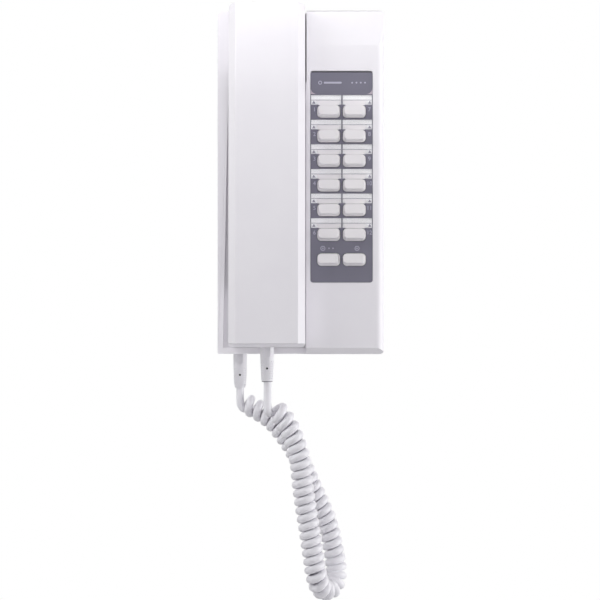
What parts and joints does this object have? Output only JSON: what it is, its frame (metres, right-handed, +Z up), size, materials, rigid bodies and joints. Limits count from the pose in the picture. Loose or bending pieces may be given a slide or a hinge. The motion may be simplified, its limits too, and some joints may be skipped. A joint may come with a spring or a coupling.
{
  "type": "slimline wall phone",
  "caption": "Slim white wall handset station: handset in a shallow cradle on the left, station keys with name strips on a dark panel on the right, curly cord below.",
  "frame": {"origin": "centre between the two wall screw holes, on the back face of the rear cover, which lies on the wall", "axes": "+Z up, +Y into the wall (the front faces -Y), +X to the right seen from the front"},
  "size_m": [0.109, 0.066, 0.3876],
  "materials": {
    "cover_plastic": "satin gloss moulded plastic, very light lavender white",
    "rear_plastic": "fine matt moulded plastic, light warm grey",
    "label_plastic": "satin dark blue grey plastic",
    "card": "matt white card",
    "clear_cover": "clear polished plastic",
    "key_plastic": "satin white plastic",
    "board": "green lacquered circuit board",
    "black_plastic": "matt black moulded plastic",
    "steel": "plated steel",
    "iron": "dark laminated iron",
    "ballast": "plain iron bar",
    "ribbon": "grey ribbed ribbon cable",
    "terminal": "ivory moulded plastic",
    "brass": "bare brass",
    "foam": "dark foam rubber",
    "capsule": "spun aluminium",
    "cord_plastic": "smooth soft plastic cord jacket",
    "boot_plastic": "soft white plastic with moulded slots"
  },
  "bodies": {
    "base": {"rear_cover": "rear_plastic", "front_cover": "cover_plastic", "label_panel": "label_plastic", "name_cards": "card", "card_windows": "clear_cover", "key_board": "board", "key_switches": "black_plastic", "key_springs": "steel", "key_board_screws": "steel", "ribbon_cable": "ribbon", "main_board": "board", "board_screws": "steel", "line_transformer": "iron", "capacitors": "black_plastic", "control_chips": "black_plastic", "terminal_block": "terminal", "terminal_screws": "brass", "call_sounder": "black_plastic", "hook_switch": "black_plastic", "hook_spring": "steel", "case_screws": "steel", "base_boot": "boot_plastic", "cord_tail_base": "cord_plastic", "cord_coil": "cord_plastic", "cord_tail_handset": "cord_plastic"},
    "hook": {"hook_plunger": "key_plastic"},
    "handset": {"handset_front": "cover_plastic", "handset_rear": "cover_plastic", "ear_cap": "cover_plastic", "mouth_cap": "cover_plastic", "receiver": "capsule", "receiver_ring": "foam", "microphone": "capsule", "microphone_seat": "foam", "ballast_bar": "ballast", "handset_screws": "steel", "handset_boot": "boot_plastic"},
    "station_key_1": {"station_key_1": "key_plastic"},
    "station_key_2": {"station_key_2": "key_plastic"},
    "station_key_3": {"station_key_3": "key_plastic"},
    "station_key_4": {"station_key_4": "key_plastic"},
    "station_key_5": {"station_key_5": "key_plastic"},
    "station_key_6": {"station_key_6": "key_plastic"},
    "station_key_7": {"station_key_7": "key_plastic"},
    "station_key_8": {"station_key_8": "key_plastic"},
    "station_key_9": {"station_key_9": "key_plastic"},
    "station_key_10": {"station_key_10": "key_plastic"},
    "station_key_11": {"station_key_11": "key_plastic"},
    "station_key_12": {"station_key_12": "key_plastic"},
    "call_key_1": {"call_key_1": "key_plastic"},
    "call_key_2": {"call_key_2": "key_plastic"}
  },
  "joints": [
    {"name": "handset_lift", "type": "slide", "parent": "base", "child": "handset", "axis": [0, -1, 0], "range_m": [0, 0.06]},
    {"name": "hook_plunger_slide", "type": "slide", "parent": "base", "child": "hook", "axis": [0, -1, 0], "range_m": [0, 0.004], "deforming": ["hook_spring"]},
    {"name": "station_key_1_press", "type": "slide", "parent": "base", "child": "station_key_1", "axis": [0, 1, 0], "range_m": [0, 0.002], "stiffness_N_per_m": 400, "deforming": ["key_springs"]},
    {"name": "station_key_2_press", "type": "slide", "parent": "base", "child": "station_key_2", "axis": [0, 1, 0], "range_m": [0, 0.002], "stiffness_N_per_m": 400, "deforming": ["key_springs"]},
    {"name": "station_key_3_press", "type": "slide", "parent": "base", "child": "station_key_3", "axis": [0, 1, 0], "range_m": [0, 0.002], "stiffness_N_per_m": 400, "deforming": ["key_springs"]},
    {"name": "station_key_4_press", "type": "slide", "parent": "base", "child": "station_key_4", "axis": [0, 1, 0], "range_m": [0, 0.002], "stiffness_N_per_m": 400, "deforming": ["key_springs"]},
    {"name": "station_key_5_press", "type": "slide", "parent": "base", "child": "station_key_5", "axis": [0, 1, 0], "range_m": [0, 0.002], "stiffness_N_per_m": 400, "deforming": ["key_springs"]},
    {"name": "station_key_6_press", "type": "slide", "parent": "base", "child": "station_key_6", "axis": [0, 1, 0], "range_m": [0, 0.002], "stiffness_N_per_m": 400, "deforming": ["key_springs"]},
    {"name": "station_key_7_press", "type": "slide", "parent": "base", "child": "station_key_7", "axis": [0, 1, 0], "range_m": [0, 0.002], "stiffness_N_per_m": 400, "deforming": ["key_springs"]},
    {"name": "station_key_8_press", "type": "slide", "parent": "base", "child": "station_key_8", "axis": [0, 1, 0], "range_m": [0, 0.002], "stiffness_N_per_m": 400, "deforming": ["key_springs"]},
    {"name": "station_key_9_press", "type": "slide", "parent": "base", "child": "station_key_9", "axis": [0, 1, 0], "range_m": [0, 0.002], "stiffness_N_per_m": 400, "deforming": ["key_springs"]},
    {"name": "station_key_10_press", "type": "slide", "parent": "base", "child": "station_key_10", "axis": [0, 1, 0], "range_m": [0, 0.002], "stiffness_N_per_m": 400, "deforming": ["key_springs"]},
    {"name": "station_key_11_press", "type": "slide", "parent": "base", "child": "station_key_11", "axis": [0, 1, 0], "range_m": [0, 0.002], "stiffness_N_per_m": 400, "deforming": ["key_springs"]},
    {"name": "station_key_12_press", "type": "slide", "parent": "base", "child": "station_key_12", "axis": [0, 1, 0], "range_m": [0, 0.002], "stiffness_N_per_m": 400, "deforming": ["key_springs"]},
    {"name": "call_key_1_press", "type": "slide", "parent": "base", "child": "call_key_1", "axis": [0, 1, 0], "range_m": [0, 0.002], "stiffness_N_per_m": 400, "deforming": ["key_springs"]},
    {"name": "call_key_2_press", "type": "slide", "parent": "base", "child": "call_key_2", "axis": [0, 1, 0], "range_m": [0, 0.002], "stiffness_N_per_m": 400, "deforming": ["key_springs"]}
  ],
  "couplings": [
    {"joint": "hook_plunger_slide", "follows": "handset_lift", "ratio": 0.066667}
  ]
}
